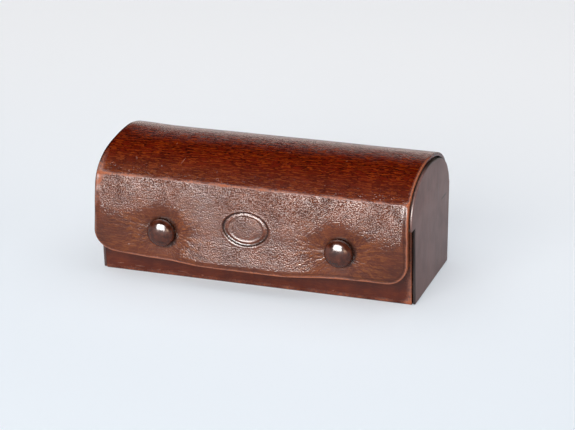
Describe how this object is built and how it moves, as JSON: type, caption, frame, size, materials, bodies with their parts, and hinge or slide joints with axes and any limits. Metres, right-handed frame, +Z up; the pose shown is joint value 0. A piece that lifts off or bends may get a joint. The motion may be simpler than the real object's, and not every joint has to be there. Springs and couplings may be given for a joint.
{
  "type": "leather accessory case",
  "caption": "Small box shaped leather case with tombstone ends, an arched lid that folds back on its leather and a front flap closed by press studs.",
  "frame": {"origin": "middle of the base's underside", "axes": "+Z up, +X along the length, -Y to the front where the flap and press studs are"},
  "size_m": [0.141, 0.0681, 0.0578],
  "materials": {
    "brown_leather": "worn grained satin",
    "dark_end_leather": "smooth satin",
    "grey_board": "matte",
    "lining_cloth": "matte nap",
    "brown_enamel": "gloss enamel",
    "brass": "satin"
  },
  "bodies": {
    "body": {"wrap_leather": "brown_leather", "end_leather_left": "dark_end_leather", "end_leather_right": "dark_end_leather", "bottom_board": "grey_board", "front_board": "grey_board", "back_board": "grey_board", "end_board_left": "grey_board", "end_board_right": "grey_board", "bottom_lining": "lining_cloth", "front_lining": "lining_cloth", "back_lining": "lining_cloth", "end_lining_left": "lining_cloth", "end_lining_right": "lining_cloth", "stud_left": "brass", "stud_right": "brass", "stud_post_left": "brass", "stud_post_right": "brass"},
    "lid": {"lid_leather": "brown_leather", "lid_board": "grey_board", "lid_lining": "lining_cloth"},
    "flap": {"flap_leather": "brown_leather", "flap_lining": "lining_cloth", "cap_left": "brown_enamel", "cap_right": "brown_enamel", "socket_left": "brass", "socket_right": "brass", "spring_left": "brass", "spring_right": "brass"}
  },
  "joints": [
    {"name": "lid_hinge", "type": "hinge", "parent": "body", "child": "lid", "pos_m": [0, 0.02815, 0.03735], "axis": [-1, 0, 0], "range_deg": [0, 170]},
    {"name": "flap_hinge", "type": "hinge", "parent": "lid", "child": "flap", "pos_m": [0, -0.0343, 0.04791], "axis": [-1, 0, 0], "range_deg": [0, 110]}
  ]
}
